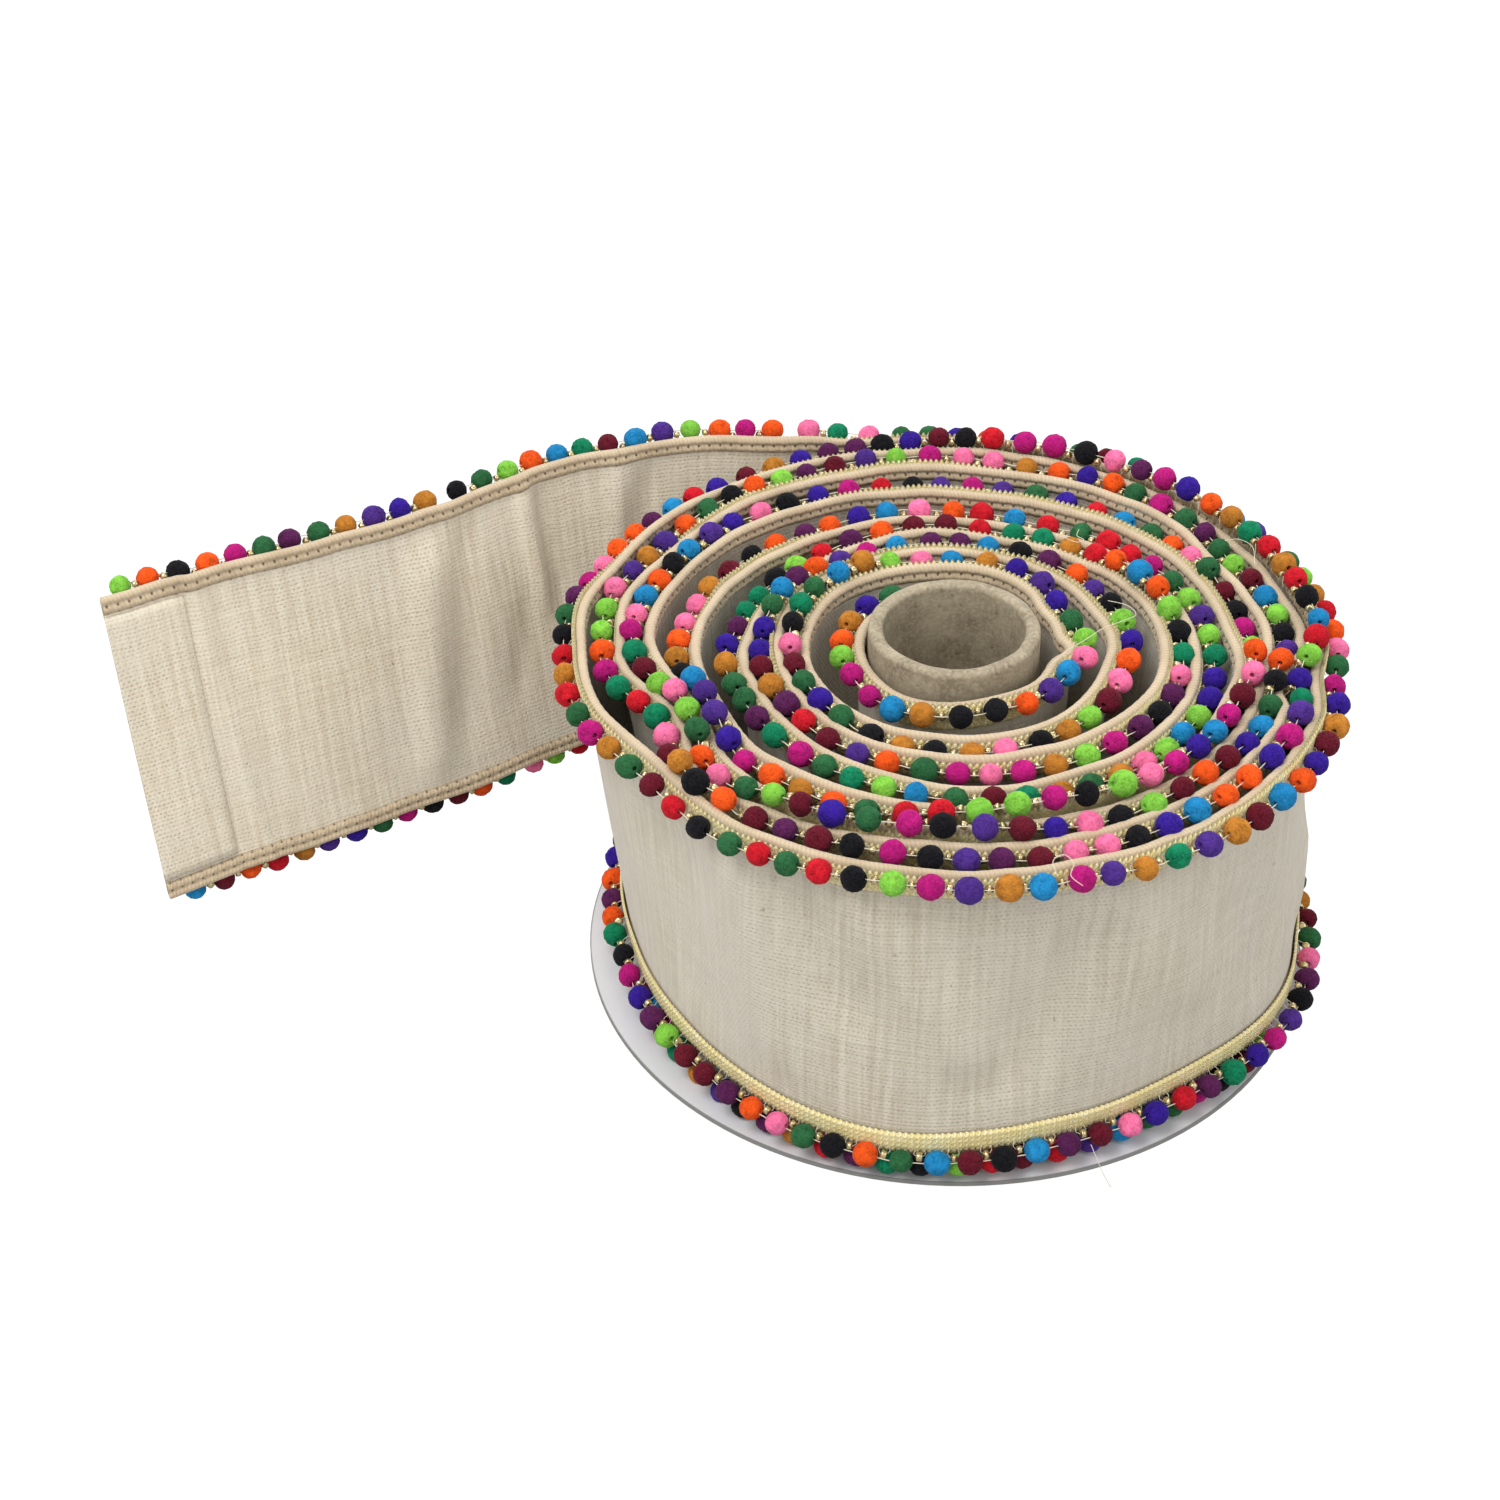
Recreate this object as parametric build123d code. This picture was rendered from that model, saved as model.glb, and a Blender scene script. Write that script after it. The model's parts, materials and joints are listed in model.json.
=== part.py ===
from build123d import *
import math
import os
import random

# Ribbon spool: a wide pompom-trimmed ribbon wound on a card core that stands on a card base disc.
# Origin: core axis at the underside of the base disc. +Z is up the core, the loose tail leaves towards -X.
# Lengths are in millimetres and angles in degrees. The ribbon stands on edge, its trimmed face outwards.

# ---- card parts ----
CORE_RADIUS = 15.75
CORE_BORE_RADIUS = 13.0
CORE_TOP = 72.6
CORE_RIM_FILLET = 0.9
DISC_RADIUS = 69.5
DISC_THICKNESS = 0.9

# ---- ribbon: a 2.5 inch band ----
RIBBON_WIDTH = 63.5
RIBBON_LOW = 5.6
RIBBON_TOP = RIBBON_LOW + RIBBON_WIDTH
CLOTH_THICKNESS = 0.5
CLOTH_SETBACK = 1.05        # from the ribbon's edge to the cloth's own edge, inside the binding
BINDING_HEIGHT = 4.2
BINDING_THICKNESS = 1.5
BINDING_WEB = 0.3
BINDING_SLOT = 0.9
WIRE_SIZE = 0.6
WIRE_SETBACK = 0.35         # from the ribbon's edge to the wire, which lies in the fold of the binding
BRAID_SETBACK = 1.0
BRAID_HEIGHT = 4.0
BRAID_INNER = 0.8           # from the cloth's middle to the braid's inner face
BRAID_OUTER = 1.15
HEM_LENGTH = 15.5
HEM_INNER = -0.85           # the hem is a second layer of cloth on the inner face of the tail's end
HEM_OUTER = -0.35
HEM_SETBACK = 4.6

# ---- trim on the outer face: poms and seed beads on a thread ----
TRIM_OFFSET = 3.35          # from the cloth's middle to the trim thread
THREAD_SIZE = 0.3
THREAD_TUCK = 1.5           # how far the thread runs on into the last pom
POM_RADIUS = 2.1
POM_HOLE_RADIUS = 0.5
SEED_RADIUS = 0.85
SEED_LENGTH = 1.0
SEED_HOLE_RADIUS = 0.45
WOUND_PITCH = (5.5, 7.0)    # least and most distance from one pom to the next
TAIL_PITCH = (5.5, 6.0)
END_MARGIN = 3.2            # from a ribbon piece's end to its last pom
TOP_TRIM_DROP = 1.2         # top poms below the ribbon's top edge, on the winding
LOW_TRIM_DROP = 1.2         # low poms below the ribbon's lower edge
TAIL_TOP_TRIM_RISE = 1.8    # on the tail the top poms stand above the edge

# ---- the winding: radius of the cloth's middle at each quarter turn, counter-clockwise and outwards ----
WINDING_START = 110.0
FIRST_QUARTER = 90.0
QUARTER = 90.0
QUARTER_RADII = [
    16.9, 16.9, 17.2, 18.5,
    23.5, 23.3, 23.7, 26.5,
    30.5, 29.7, 30.2, 33.0,
    37.2, 36.2, 38.0, 39.5,
    44.0, 46.0, 44.9, 46.3,
    54.5, 54.0, 51.8, 52.8,
    61.5, 60.5, 59.8, 59.3,
    68.0, 66.9, 67.5, 66.0,
    75.0,
]
KINKS = [(350.0, 32.0, 1.0), (2511.0, 12.0, -0.2)]   # where it creases: centre, half width, depth
WINDING_STEP = 10.0
WINDING_END = FIRST_QUARTER + QUARTER * (len(QUARTER_RADII) - 1)

# ---- the tail: x and y of its top edge, and how far its lower edge leans in under that ----
TAIL_STATIONS = [
    (-9.0, 75.1, 0.0),
    (-18.0, 75.5, 0.0),
    (-27.5, 76.1, 0.0),
    (-46.0, 76.2, 4.0),
    (-61.0, 73.4, 8.3),
    (-75.0, 68.2, 10.9),
    (-86.0, 61.4, 10.9),
    (-97.0, 53.4, 10.4),
    (-111.0, 45.6, 10.3),
    (-125.0, 38.9, 11.5),
    (-139.0, 33.2, 12.8),
    (-151.0, 27.9, 14.0),
    (-159.0, 24.3, 15.0),
]
SWING_STATION = 2           # the ribbon first bends at this station
CURL_LENGTH = 70.0          # length of ribbon between the two bends
HINGE_GAP = 1.0             # gap in the cloth at a bend
BAND_STEP = 5.0             # spacing of the places that a long band's curves pass through
LOFT_STEP = 7.0
MARCH_STEP = 0.4            # how finely the next pom is looked for along the ribbon
HALVINGS = 12               # how often a seed's place between its two poms is halved

POM_COLOURS = [
    "red", "maroon", "orange", "ochre", "lime", "emerald", "forest",
    "turquoise", "royal", "violet", "plum", "magenta", "pink", "black",
]
TAIL_TOP_POMS = (
    "pink orange magenta orange lime violet turquoise maroon emerald turquoise orange lime "
    "forest black ochre royal violet ochre forest plum forest magenta orange black orange lime"
).split()
TAIL_LOW_POMS = (
    "red lime pink emerald orange maroon black magenta emerald orange lime red "
    "black magenta forest royal violet ochre red orange maroon turquoise orange forest lime red"
).split()
INNER_TAIL_POMS = 12        # the inner piece of the tail takes the first poms of each list
POM_SEED = 8
FULL_TURN = 360.0
UP = Vector(0, 0, 1)


def winding_radius(angle):
    """Radius of the cloth's middle at a winding angle, a smooth curve through the quarter turns."""
    place = (angle - FIRST_QUARTER) / QUARTER
    last = len(QUARTER_RADII) - 1
    index = min(int(place), last - 1)
    t = place - index
    before, here, after, beyond = [
        QUARTER_RADII[min(max(index + k, 0), last)] for k in (-1, 0, 1, 2)
    ]
    slope_here = (after - before) / 2
    slope_after = (beyond - here) / 2
    radius = here * (2 * t**3 - 3 * t**2 + 1) + after * (3 * t**2 - 2 * t**3)
    radius += slope_here * (t**3 - 2 * t**2 + t) + slope_after * (t**3 - t**2)
    for centre, half_width, depth in KINKS:
        away = abs(angle - centre) / half_width
        if away < 1:
            radius += depth * math.cos(away * math.pi / 2) ** 2
    return radius


def winding_points():
    """Points of the cloth's middle line in plan, from its inner end to the first bend of the tail."""
    count = round((WINDING_END - WINDING_START) / WINDING_STEP)
    points = []
    for k in range(count + 1):
        angle = WINDING_START + WINDING_STEP * k
        radius = winding_radius(angle)
        turn = math.radians(angle)
        points.append(Vector(radius * math.cos(turn), radius * math.sin(turn), 0))
    return points + [Vector(x, y, 0) for x, y, _ in TAIL_STATIONS[: SWING_STATION + 1]]


class Upright:
    """A stretch of ribbon that stands plumb: places by their length along it."""

    def __init__(self, points):
        self.curve = Spline(*points)
        self.length = self.curve.length

    def place(self, distance):
        """Foot of the ribbon, heading, outward direction and direction up the ribbon."""
        share = min(max(distance / self.length, 0), 1)
        heading = (self.curve % share).normalized()
        foot = self.curve @ share + UP * RIBBON_LOW
        return foot, heading, Vector(heading.Y, -heading.X, 0), UP

    def width(self, distance):
        return RIBBON_WIDTH


class Leaning:
    """The tail, whose lower edge leans in under its top edge by the third value of each station."""

    def __init__(self, stations):
        self.curve = Spline(*[Vector(*station) for station in stations])
        self.length = self.curve.length

    def edges(self, distance):
        share = min(max(distance / self.length, 0), 1)
        heading = self.curve % share
        heading = Vector(heading.X, heading.Y, 0).normalized()
        spot = self.curve @ share
        outward = Vector(heading.Y, -heading.X, 0)
        top = Vector(spot.X, spot.Y, RIBBON_TOP)
        foot = Vector(spot.X, spot.Y, RIBBON_LOW) - outward * spot.Z
        return foot, top, heading

    def place(self, distance):
        foot, top, heading = self.edges(distance)
        up = (top - foot).normalized()
        return foot, heading, heading.cross(up).normalized(), up

    def width(self, distance):
        foot, top, _ = self.edges(distance)
        return (top - foot).length


def spot(ribbon, distance, out, height):
    """A point by its length along the ribbon, its offset from the cloth's middle and its height,
    which is the edge that it is measured from and how far in from that edge it is."""
    foot, _, outward, up = ribbon.place(distance)
    edge, inwards = height
    up_from_foot = ribbon.width(distance) - inwards if edge == "top" else inwards
    return foot + outward * out + up * up_from_foot


def spread(start, end, step, least):
    count = max(math.ceil((end - start) / step), least)
    return [start + (end - start) * k / count for k in range(count + 1)]


def strip(rail_a, rail_b, z):
    """The flat strip between two rails, at a height."""
    edges = [
        rail_a,
        Edge.make_line(rail_a @ 1, rail_b @ 1),
        rail_b,
        Edge.make_line(rail_b @ 0, rail_a @ 0),
    ]
    return Face(Wire(edges)).moved(Location((0, 0, z)))


def wall(rail, low, high):
    """The upright face over a rail."""
    return Face.extrude(rail.edge().moved(Location((0, 0, low))), UP * (high - low))


def rails_beside(ribbon, start, end, offsets):
    """Curves at z = 0 that run beside a plumb ribbon at each of the given offsets."""
    places = [ribbon.place(s) for s in spread(start, end, BAND_STEP, 3)]
    ground = UP * RIBBON_LOW
    return [Spline(*[p + out * offset - ground for p, _, out, _ in places]) for offset in offsets]


def level(height):
    """A height as z on the plumb part of the ribbon."""
    edge, inwards = height
    return RIBBON_TOP - inwards if edge == "top" else RIBBON_LOW + inwards


def band(ribbon, start, end, inner, outer, low, high):
    """A flat band that follows the ribbon between two lengths, two offsets and two heights."""
    if isinstance(ribbon, Upright):
        rails = rails_beside(ribbon, start, end, (inner, outer))
        return Solid.extrude(strip(rails[0], rails[1], level(low)), UP * (level(high) - level(low)))
    corners = [(inner, low), (outer, low), (outer, high), (inner, high)]
    return lofted(ribbon, start, end, corners)


def lofted(ribbon, start, end, corners):
    """A solid with the same corners, as offset and height, in every section of the ribbon."""
    sections = []
    for s in spread(start, end, LOFT_STEP, 2):
        sections.append(Wire.make_polygon([spot(ribbon, s, out, height) for out, height in corners]))
    return Solid.make_loft(sections)


def channel(ribbon, start, end, edge):
    """The folded binding over one edge of the cloth: a web at the edge and a leg each side of it."""
    half, slot = BINDING_THICKNESS / 2, BINDING_SLOT / 2
    rim, web, tip = [(edge, depth) for depth in (0, BINDING_WEB, BINDING_HEIGHT)]
    outline = [(-half, rim), (half, rim), (half, tip), (slot, tip)]
    outline += [(slot, web), (-slot, web), (-slot, tip), (-half, tip)]
    if isinstance(ribbon, Leaning):
        return lofted(ribbon, start, end, outline)
    rails = rails_beside(ribbon, start, end, (-half, -slot, slot, half))
    by_offset = dict(zip((-half, -slot, slot, half), rails))
    z_rim, z_web, z_tip = level(rim), level(web), level(tip)
    faces = [
        strip(rails[0], rails[3], z_rim),
        strip(rails[1], rails[2], z_web),
        strip(rails[0], rails[1], z_tip),
        strip(rails[2], rails[3], z_tip),
        wall(rails[0], z_rim, z_tip),
        wall(rails[3], z_rim, z_tip),
        wall(rails[1], z_web, z_tip),
        wall(rails[2], z_web, z_tip),
    ]
    for share in (0, 1):
        corners = [(by_offset[out] @ share) + UP * level(height) for out, height in outline]
        faces.append(Face(Wire.make_polygon(corners)))
    return Solid(Shell(faces))


def turned(profile):
    """A solid turned about X from the edges of its half section."""
    return Solid.revolve(Face(Wire(profile)), FULL_TURN, Axis.X)


def pom():
    """A round pom with a drilled hole along X."""
    reach = math.sqrt(POM_RADIUS**2 - POM_HOLE_RADIUS**2)
    near, far = Vector(-reach, POM_HOLE_RADIUS, 0), Vector(reach, POM_HOLE_RADIUS, 0)
    crown = Vector(0, POM_RADIUS, 0)
    slant = POM_RADIUS * math.sqrt(0.5)
    front = Edge.make_three_point_arc(near, Vector(-slant, slant, 0), crown)
    back = Edge.make_three_point_arc(crown, Vector(slant, slant, 0), far)
    return turned([front, back, Edge.make_line(far, near)])


def seed():
    """A short tube bead with its hole along X."""
    reach = SEED_LENGTH / 2
    corners = [
        Vector(-reach, SEED_HOLE_RADIUS, 0),
        Vector(reach, SEED_HOLE_RADIUS, 0),
        Vector(reach, SEED_RADIUS, 0),
        Vector(-reach, SEED_RADIUS, 0),
    ]
    return turned([Edge.make_line(a, b) for a, b in zip(corners, corners[1:] + corners[:1])])


def strung(ribbon, distance, height):
    """Where a bead sits on the trim thread, with X along the thread."""
    behind, here, ahead = [
        spot(ribbon, distance + k * MARCH_STEP, TRIM_OFFSET, height) for k in (-1, 0, 1)
    ]
    along = ahead - behind
    _, _, outward, _ = ribbon.place(distance)
    return Plane(here, x_dir=along, z_dir=along.cross(outward)).location


def midway(ribbon, before, after, height):
    """The length at which a seed is as far from the pom before it as from the pom after it."""
    ends = [spot(ribbon, s, TRIM_OFFSET, height) for s in (before, after)]
    for _ in range(HALVINGS):
        middle = (before + after) / 2
        here = spot(ribbon, middle, TRIM_OFFSET, height)
        if (here - ends[0]).length < (here - ends[1]).length:
            before = middle
        else:
            after = middle
    return (before + after) / 2


def pom_lengths(ribbon, start, end, height, pitch, rng):
    """Lengths along the ribbon at which poms sit, each at a random distance from the last one."""
    lengths = [start]
    last = spot(ribbon, start, TRIM_OFFSET, height)
    wanted = rng.uniform(*pitch)
    s = start
    while s < end:
        s += MARCH_STEP
        here = spot(ribbon, s, TRIM_OFFSET, height)
        if (here - last).length >= wanted:
            lengths.append(s)
            last = here
            wanted = rng.uniform(*pitch)
    return [s for s in lengths if s <= end]


def trim(ribbon, start, end, heights, pitch, rng, colours):
    """Poms by colour, seeds and threads of one piece of ribbon. colours gives each row's own list."""
    poms, seeds, threads = {}, [], []
    one_pom, one_seed = pom(), seed()
    for height, row in zip(heights, colours):
        places = pom_lengths(ribbon, start + END_MARGIN, end - END_MARGIN, height, pitch, rng)
        for index, s in enumerate(places):
            colour = row[index] if row else rng.choice(POM_COLOURS)
            spun = strung(ribbon, s, height) * Rotation(rng.uniform(0, FULL_TURN), 0, 0)
            poms.setdefault(colour, []).append(one_pom.moved(spun))
        for before, after in zip(places, places[1:]):
            seeds.append(one_seed.moved(strung(ribbon, midway(ribbon, before, after, height), height)))
        half = THREAD_SIZE / 2
        low = (height[0], height[1] - half)
        high = (height[0], height[1] + half)
        first, last = places[0] - THREAD_TUCK, places[-1] + THREAD_TUCK
        threads.append(band(ribbon, first, last, TRIM_OFFSET - half, TRIM_OFFSET + half, low, high))
    return poms, seeds, threads


def ribbon_piece(ribbon, start, end, suffix, heights, pitch, rng, colours):
    """All the nodes of one piece of ribbon between two lengths along it."""
    half = CLOTH_THICKNESS / 2
    nodes = {}
    low, high = ("low", CLOTH_SETBACK), ("top", CLOTH_SETBACK)
    nodes["cloth_" + suffix] = [band(ribbon, start, end, -half, half, low, high)]
    nodes["edge_wires_" + suffix] = []
    nodes["gold_braids_" + suffix] = []
    for edge in ("top", "low"):
        name = "upper_binding_" if edge == "top" else "lower_binding_"
        nodes[name + suffix] = [channel(ribbon, start, end, edge)]
        wire_half = WIRE_SIZE / 2
        wire = [(edge, WIRE_SETBACK), (edge, WIRE_SETBACK + WIRE_SIZE)]
        braid = [(edge, BRAID_SETBACK), (edge, BRAID_SETBACK + BRAID_HEIGHT)]
        wire_band = band(ribbon, start, end, -wire_half, wire_half, *wire)
        braid_band = band(ribbon, start, end, BRAID_INNER, BRAID_OUTER, *braid)
        nodes["edge_wires_" + suffix].append(wire_band)
        nodes["gold_braids_" + suffix].append(braid_band)
    poms, seeds, threads = trim(ribbon, start, end, heights, pitch, rng, colours)
    nodes["seed_beads_" + suffix] = seeds
    nodes["bead_threads_" + suffix] = threads
    for colour in sorted(poms):
        nodes[f"poms_{colour}_{suffix}"] = poms[colour]
    return nodes


def core_tube():
    """The card tube: its top rim is rounded inside and out."""
    wall_ring = Cylinder(CORE_RADIUS, CORE_TOP - DISC_THICKNESS, align=(Align.CENTER,) * 2 + (Align.MIN,))
    wall_ring -= Cylinder(CORE_BORE_RADIUS, 3 * CORE_TOP)
    rim = wall_ring.faces().sort_by(Axis.Z)[-1].edges()
    return [fillet(rim, CORE_RIM_FILLET).moved(Location((0, 0, DISC_THICKNESS))).solid()]


def base_disc():
    """The card disc that the core and the ribbon stand on, open under the core."""
    disc = Cylinder(DISC_RADIUS, DISC_THICKNESS, align=(Align.CENTER,) * 2 + (Align.MIN,))
    return [(disc - Cylinder(CORE_BORE_RADIUS, 3 * DISC_THICKNESS)).solid()]


def build():
    rng = random.Random(POM_SEED)
    nodes = {"core_tube": core_tube(), "base_disc": base_disc()}
    wound = Upright(winding_points())
    tail = Leaning(TAIL_STATIONS[SWING_STATION - 1 :])
    swing_x, swing_y, _ = TAIL_STATIONS[SWING_STATION]
    lead_x, lead_y, _ = TAIL_STATIONS[SWING_STATION - 1]
    swing = math.hypot(swing_x - lead_x, swing_y - lead_y)
    curl = swing + CURL_LENGTH
    half_gap = HINGE_GAP / 2
    low = ("low", -LOW_TRIM_DROP)
    wound_rows = (("top", TOP_TRIM_DROP), low)
    tail_rows = (("top", -TAIL_TOP_TRIM_RISE), low)
    nodes |= ribbon_piece(
        wound, 0, wound.length - half_gap, "wound", wound_rows, WOUND_PITCH, rng, ([], [])
    )
    inner_colours = (TAIL_TOP_POMS[:INNER_TAIL_POMS], TAIL_LOW_POMS[:INNER_TAIL_POMS])
    nodes |= ribbon_piece(
        tail, swing + half_gap, curl - half_gap, "tail_inner", tail_rows, TAIL_PITCH, rng, inner_colours
    )
    outer_colours = (TAIL_TOP_POMS[INNER_TAIL_POMS:], TAIL_LOW_POMS[INNER_TAIL_POMS:])
    nodes |= ribbon_piece(
        tail, curl + half_gap, tail.length, "tail_outer", tail_rows, TAIL_PITCH, rng, outer_colours
    )
    hem_low, hem_high = ("low", HEM_SETBACK), ("top", HEM_SETBACK)
    hem_start = tail.length - HEM_LENGTH
    nodes["hem_tail_outer"] = [band(tail, hem_start, tail.length, HEM_INNER, HEM_OUTER, hem_low, hem_high)]
    return nodes


if __name__ == "__main__":
    os.makedirs("parts", exist_ok=True)
    for name, solids in build().items():
        export_step(Compound(solids), f"parts/{name}.step")
        print(name, len(solids))
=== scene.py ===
import json
import math

import bpy
import numpy as np
from mathutils import Matrix, Vector


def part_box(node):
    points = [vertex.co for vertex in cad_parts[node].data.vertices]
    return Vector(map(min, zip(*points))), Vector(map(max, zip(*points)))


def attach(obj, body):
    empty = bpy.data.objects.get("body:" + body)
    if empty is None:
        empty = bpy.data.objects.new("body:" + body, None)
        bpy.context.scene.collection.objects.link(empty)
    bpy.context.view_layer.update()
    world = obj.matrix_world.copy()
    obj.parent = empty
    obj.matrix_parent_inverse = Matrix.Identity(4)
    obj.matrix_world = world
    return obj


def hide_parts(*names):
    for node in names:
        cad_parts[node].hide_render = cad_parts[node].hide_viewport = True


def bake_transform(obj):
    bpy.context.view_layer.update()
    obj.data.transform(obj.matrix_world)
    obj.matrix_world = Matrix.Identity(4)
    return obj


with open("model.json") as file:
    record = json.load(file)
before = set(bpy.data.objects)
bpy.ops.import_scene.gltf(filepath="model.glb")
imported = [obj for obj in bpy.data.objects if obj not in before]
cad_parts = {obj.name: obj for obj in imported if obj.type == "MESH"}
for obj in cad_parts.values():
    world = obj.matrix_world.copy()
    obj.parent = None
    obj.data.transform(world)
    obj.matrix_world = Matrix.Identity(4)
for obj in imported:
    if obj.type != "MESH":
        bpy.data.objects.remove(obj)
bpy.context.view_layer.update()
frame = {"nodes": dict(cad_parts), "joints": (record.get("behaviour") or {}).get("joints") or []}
MM = 0.001
rng = np.random.default_rng(11)

# ---- measures in millimetres, as the CAD has them ----
CORE_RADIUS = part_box("core_tube")[1].x / MM
CORE_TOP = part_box("core_tube")[1].z / MM
DISC_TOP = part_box("base_disc")[1].z / MM
DISC_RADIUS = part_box("base_disc")[1].x / MM
RIBBON_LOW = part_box("lower_binding_wound")[0].z / MM
RIBBON_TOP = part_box("upper_binding_wound")[1].z / MM
WIDTH = RIBBON_TOP - RIBBON_LOW
POM_RADIUS = 2.24
CORE_BORE_RADIUS = 13.0
TRIM_OFFSET = 3.3
HEM_LENGTH = 15.5

WINDING_START = 110.0
FIRST_QUARTER = 90.0
QUARTER = 90.0
FOOT_RADII = [  # radius of the winding's lower edge at each quarter turn
    16.9, 16.9, 17.2, 18.5,
    23.5, 23.3, 23.7, 26.5,
    30.5, 29.7, 30.2, 33.0,
    37.2, 36.2, 38.0, 39.5,
    44.0, 46.0, 44.9, 46.3,
    54.5, 54.0, 51.8, 52.8,
    61.5, 60.5, 59.8, 59.3,
    68.0, 66.9, 67.5, 66.0,
    75.0,
]
TOP_RADII = [  # the same for its top edge, which strays further
    16.9, 17.3, 19.4, 19.2,
    25.8, 27.6, 28.6, 28.4,
    32.0, 32.4, 35.0, 38.4,
    38.6, 37.6, 42.4, 43.8,
    44.4, 47.5, 48.2, 51.0,
    54.9, 56.4, 53.2, 56.4,
    63.5, 60.9, 58.0, 62.6,
    69.8, 68.0, 64.8, 67.2,
    75.0,
]
KINKS = [  # creases of its top edge: centre and half width in degrees, depth
    (351, 13, 2.2),
    (390, 14, -0.8),
    (722, 22, 0.8),
    (1262, 16, 0.9),
    (1638, 26, -1.8),
    (1790, 14, 1.2),
    (1998, 30, -5.4),
    (2160, 15, 1),
    (2186, 12, -1.2),
    (2322, 14, 1.2),
    (2359, 21, -6.2),
    (2382, 12, 1.6),
    (2505, 9, -3.4),
    (2522, 10, 1.4),
    (2686, 14, 1.2),
    (2731, 24, -2.6),
    (2868, 11, -1.6),
]
TAIL_STATIONS = [  # x and y of the tail's top edge, and how far its lower edge leans in
    (-9, 75.1, 0),
    (-18, 75.5, 0),
    (-27.5, 76.1, 0),
    (-46, 76.2, 4),
    (-61, 73.4, 8.3),
    (-75, 68.2, 10.9),
    (-86, 61.4, 10.9),
    (-97, 53.4, 10.4),
    (-111, 45.6, 10.3),
    (-125, 38.9, 11.5),
    (-139, 33.2, 12.8),
    (-151, 27.9, 14),
    (-159, 24.3, 15),
]
DRAFT = [  # direction in degrees, share by which the lower edge stands nearer the core
    (0, 0.0), (90, 0.0), (140, 0.03), (178, 0.082), (188, 0.10), (201, 0.095), (214, 0.087),
    (225, 0.073), (236, 0.041), (246, 0.019), (254, 0.0), (262, 0.007), (272, 0.022), (280, 0.036),
    (297, 0.047), (310, 0.028), (323, -0.016), (333, -0.036), (348, -0.015), (360, 0.0),
]

# place, slant, half width, depth and the shares of the height between which each fold lies; a place
# under LEAST_ANGLE is the length before the tail's end, a greater one is an angle of the winding
LEAST_ANGLE = 200.0
FOLDS = [
    (16, 1, 0.9, 0.35, -0.3, 1.3),
    (20, 5, 1.6, -0.45, -0.3, 1.3),
    (62, -7, 4.5, -1.9, 0, 0.95),
    (70, -9, 3.5, 1.1, 0.1, 1),
    (89, 3, 2.4, -2, 0.45, 1.05),
    (93.5, 6, 2.6, 1.2, 0.4, 1),
    (84, -20, 3, 0.6, 0.15, 0.7),
    (106, -9, 3.2, -1.2, 0.3, 1.05),
    (112, -9, 3, 0.9, 0.3, 1),
    (2738, -12, 8, -1.3, 0.1, 0.9),
    (2754, -16, 7, 1.6, 0.1, 0.95),
    (2768, -26, 5.5, -1.5, 0.35, 1.05),
    (2782, -34, 6, 1.5, 0.2, 0.95),
    (2800, 26, 7, -1.6, 0.1, 0.85),
    (2822, -30, 8, 1.4, 0.25, 1),
    (2838, -22, 6, -1.2, 0.1, 0.75),
    (2856, 12, 8, -1.6, 0.3, 0.95),
    (2868, -10, 7, 2, 0, 0.55),
]

# ---- the bindings and braids, in millimetres: depths are measured in from the ribbon's edge ----
CLOTH_HALF = 0.25
CLOTH_MARGIN = 1.0  # how far in from the edge the cloth ends, inside the binding
STITCH_PITCH = 2.2
SCALLOP_PITCH = 1.05
RIB_PITCH = 0.8
WEFT_PITCH = 0.85
WARP_PITCH = 0.9
BAND_WIDTH = 1.1  # of each chevron band of the braid
HOLE_ROWS = (7.75, 9.55)  # where the needle holes lie, round the binding's section
ROW_PITCH = 1.6
OUTER_DEPTHS = np.array([4.3, 3.2, 2.2, 1.75, 1.2, 0.65, 0.25, 0.03])
INNER_DEPTHS = np.array([0.03, 0.2, 0.5, 0.85, 1.2, 1.5, 1.8, 2.2, 2.65, 2.95, 3.1, 3.2])
BRAID_DEPTHS = np.array([1.5, 1.85, 2.4, 2.95, 3.5, 4.05, 4.55, 4.85])

# ---- the trim ----
TUCKED = (2424.0, 84.0)  # where the low poms of the last turn but one come out under the last turn
LAST_TURN = 2610.0  # angle of the winding at which the last turn starts
OUTER_TURN_LENGTH = 440.0
LOOK_BACK = 400.0  # length of the winding in which a direction of the last turn is looked up
INNER_SHARE = 0.62  # of the length before the outer turn
POM_INSETS = (3.0, 3.4)  # of the first and the last pom from the ribbon's ends
WINDING_PITCH = (5.5, 7.0)  # least and greatest distance from pom to pom
TAIL_PITCH = (5.2, 6.1)
JOINT_ROOM = 1.5  # extra distance between the two poms at a joint
POM_SHIFT = (-0.3, 0.25)  # outwards, and the greatest tilt in radians, and the sizes
POM_TILT = 0.35
POM_SIZES = (0.93, 1.05)
SEED_DROP = (0.2, 0.9)  # away from the poms' thread towards the ribbon, and how far in
SEED_INSET = (0.5, 1.3)
SEED_TILT = 0.9
SEED_SIZES = (0.85, 1.1)
BEAD_THREAD = 0.10
STITCH_THREAD = 0.075
FULL_TURN = 6.28
FRONT_TOP = (
    "red forest magenta ochre forest maroon red black forest red forest red black lime magenta "
    "violet ochre turquoise magenta violet ochre emerald violet ochre maroon turquoise orange royal "
    "maroon ochre royal magenta forest"
).split()
TAIL_TOP = (
    "pink orange magenta orange lime violet turquoise maroon emerald turquoise orange lime "
    "forest black ochre royal violet ochre forest plum forest magenta orange black orange lime"
).split()
TAIL_LOW = (
    "red lime pink emerald orange maroon black magenta forest royal violet ochre red orange "
    "maroon turquoise"
).split()
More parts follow.
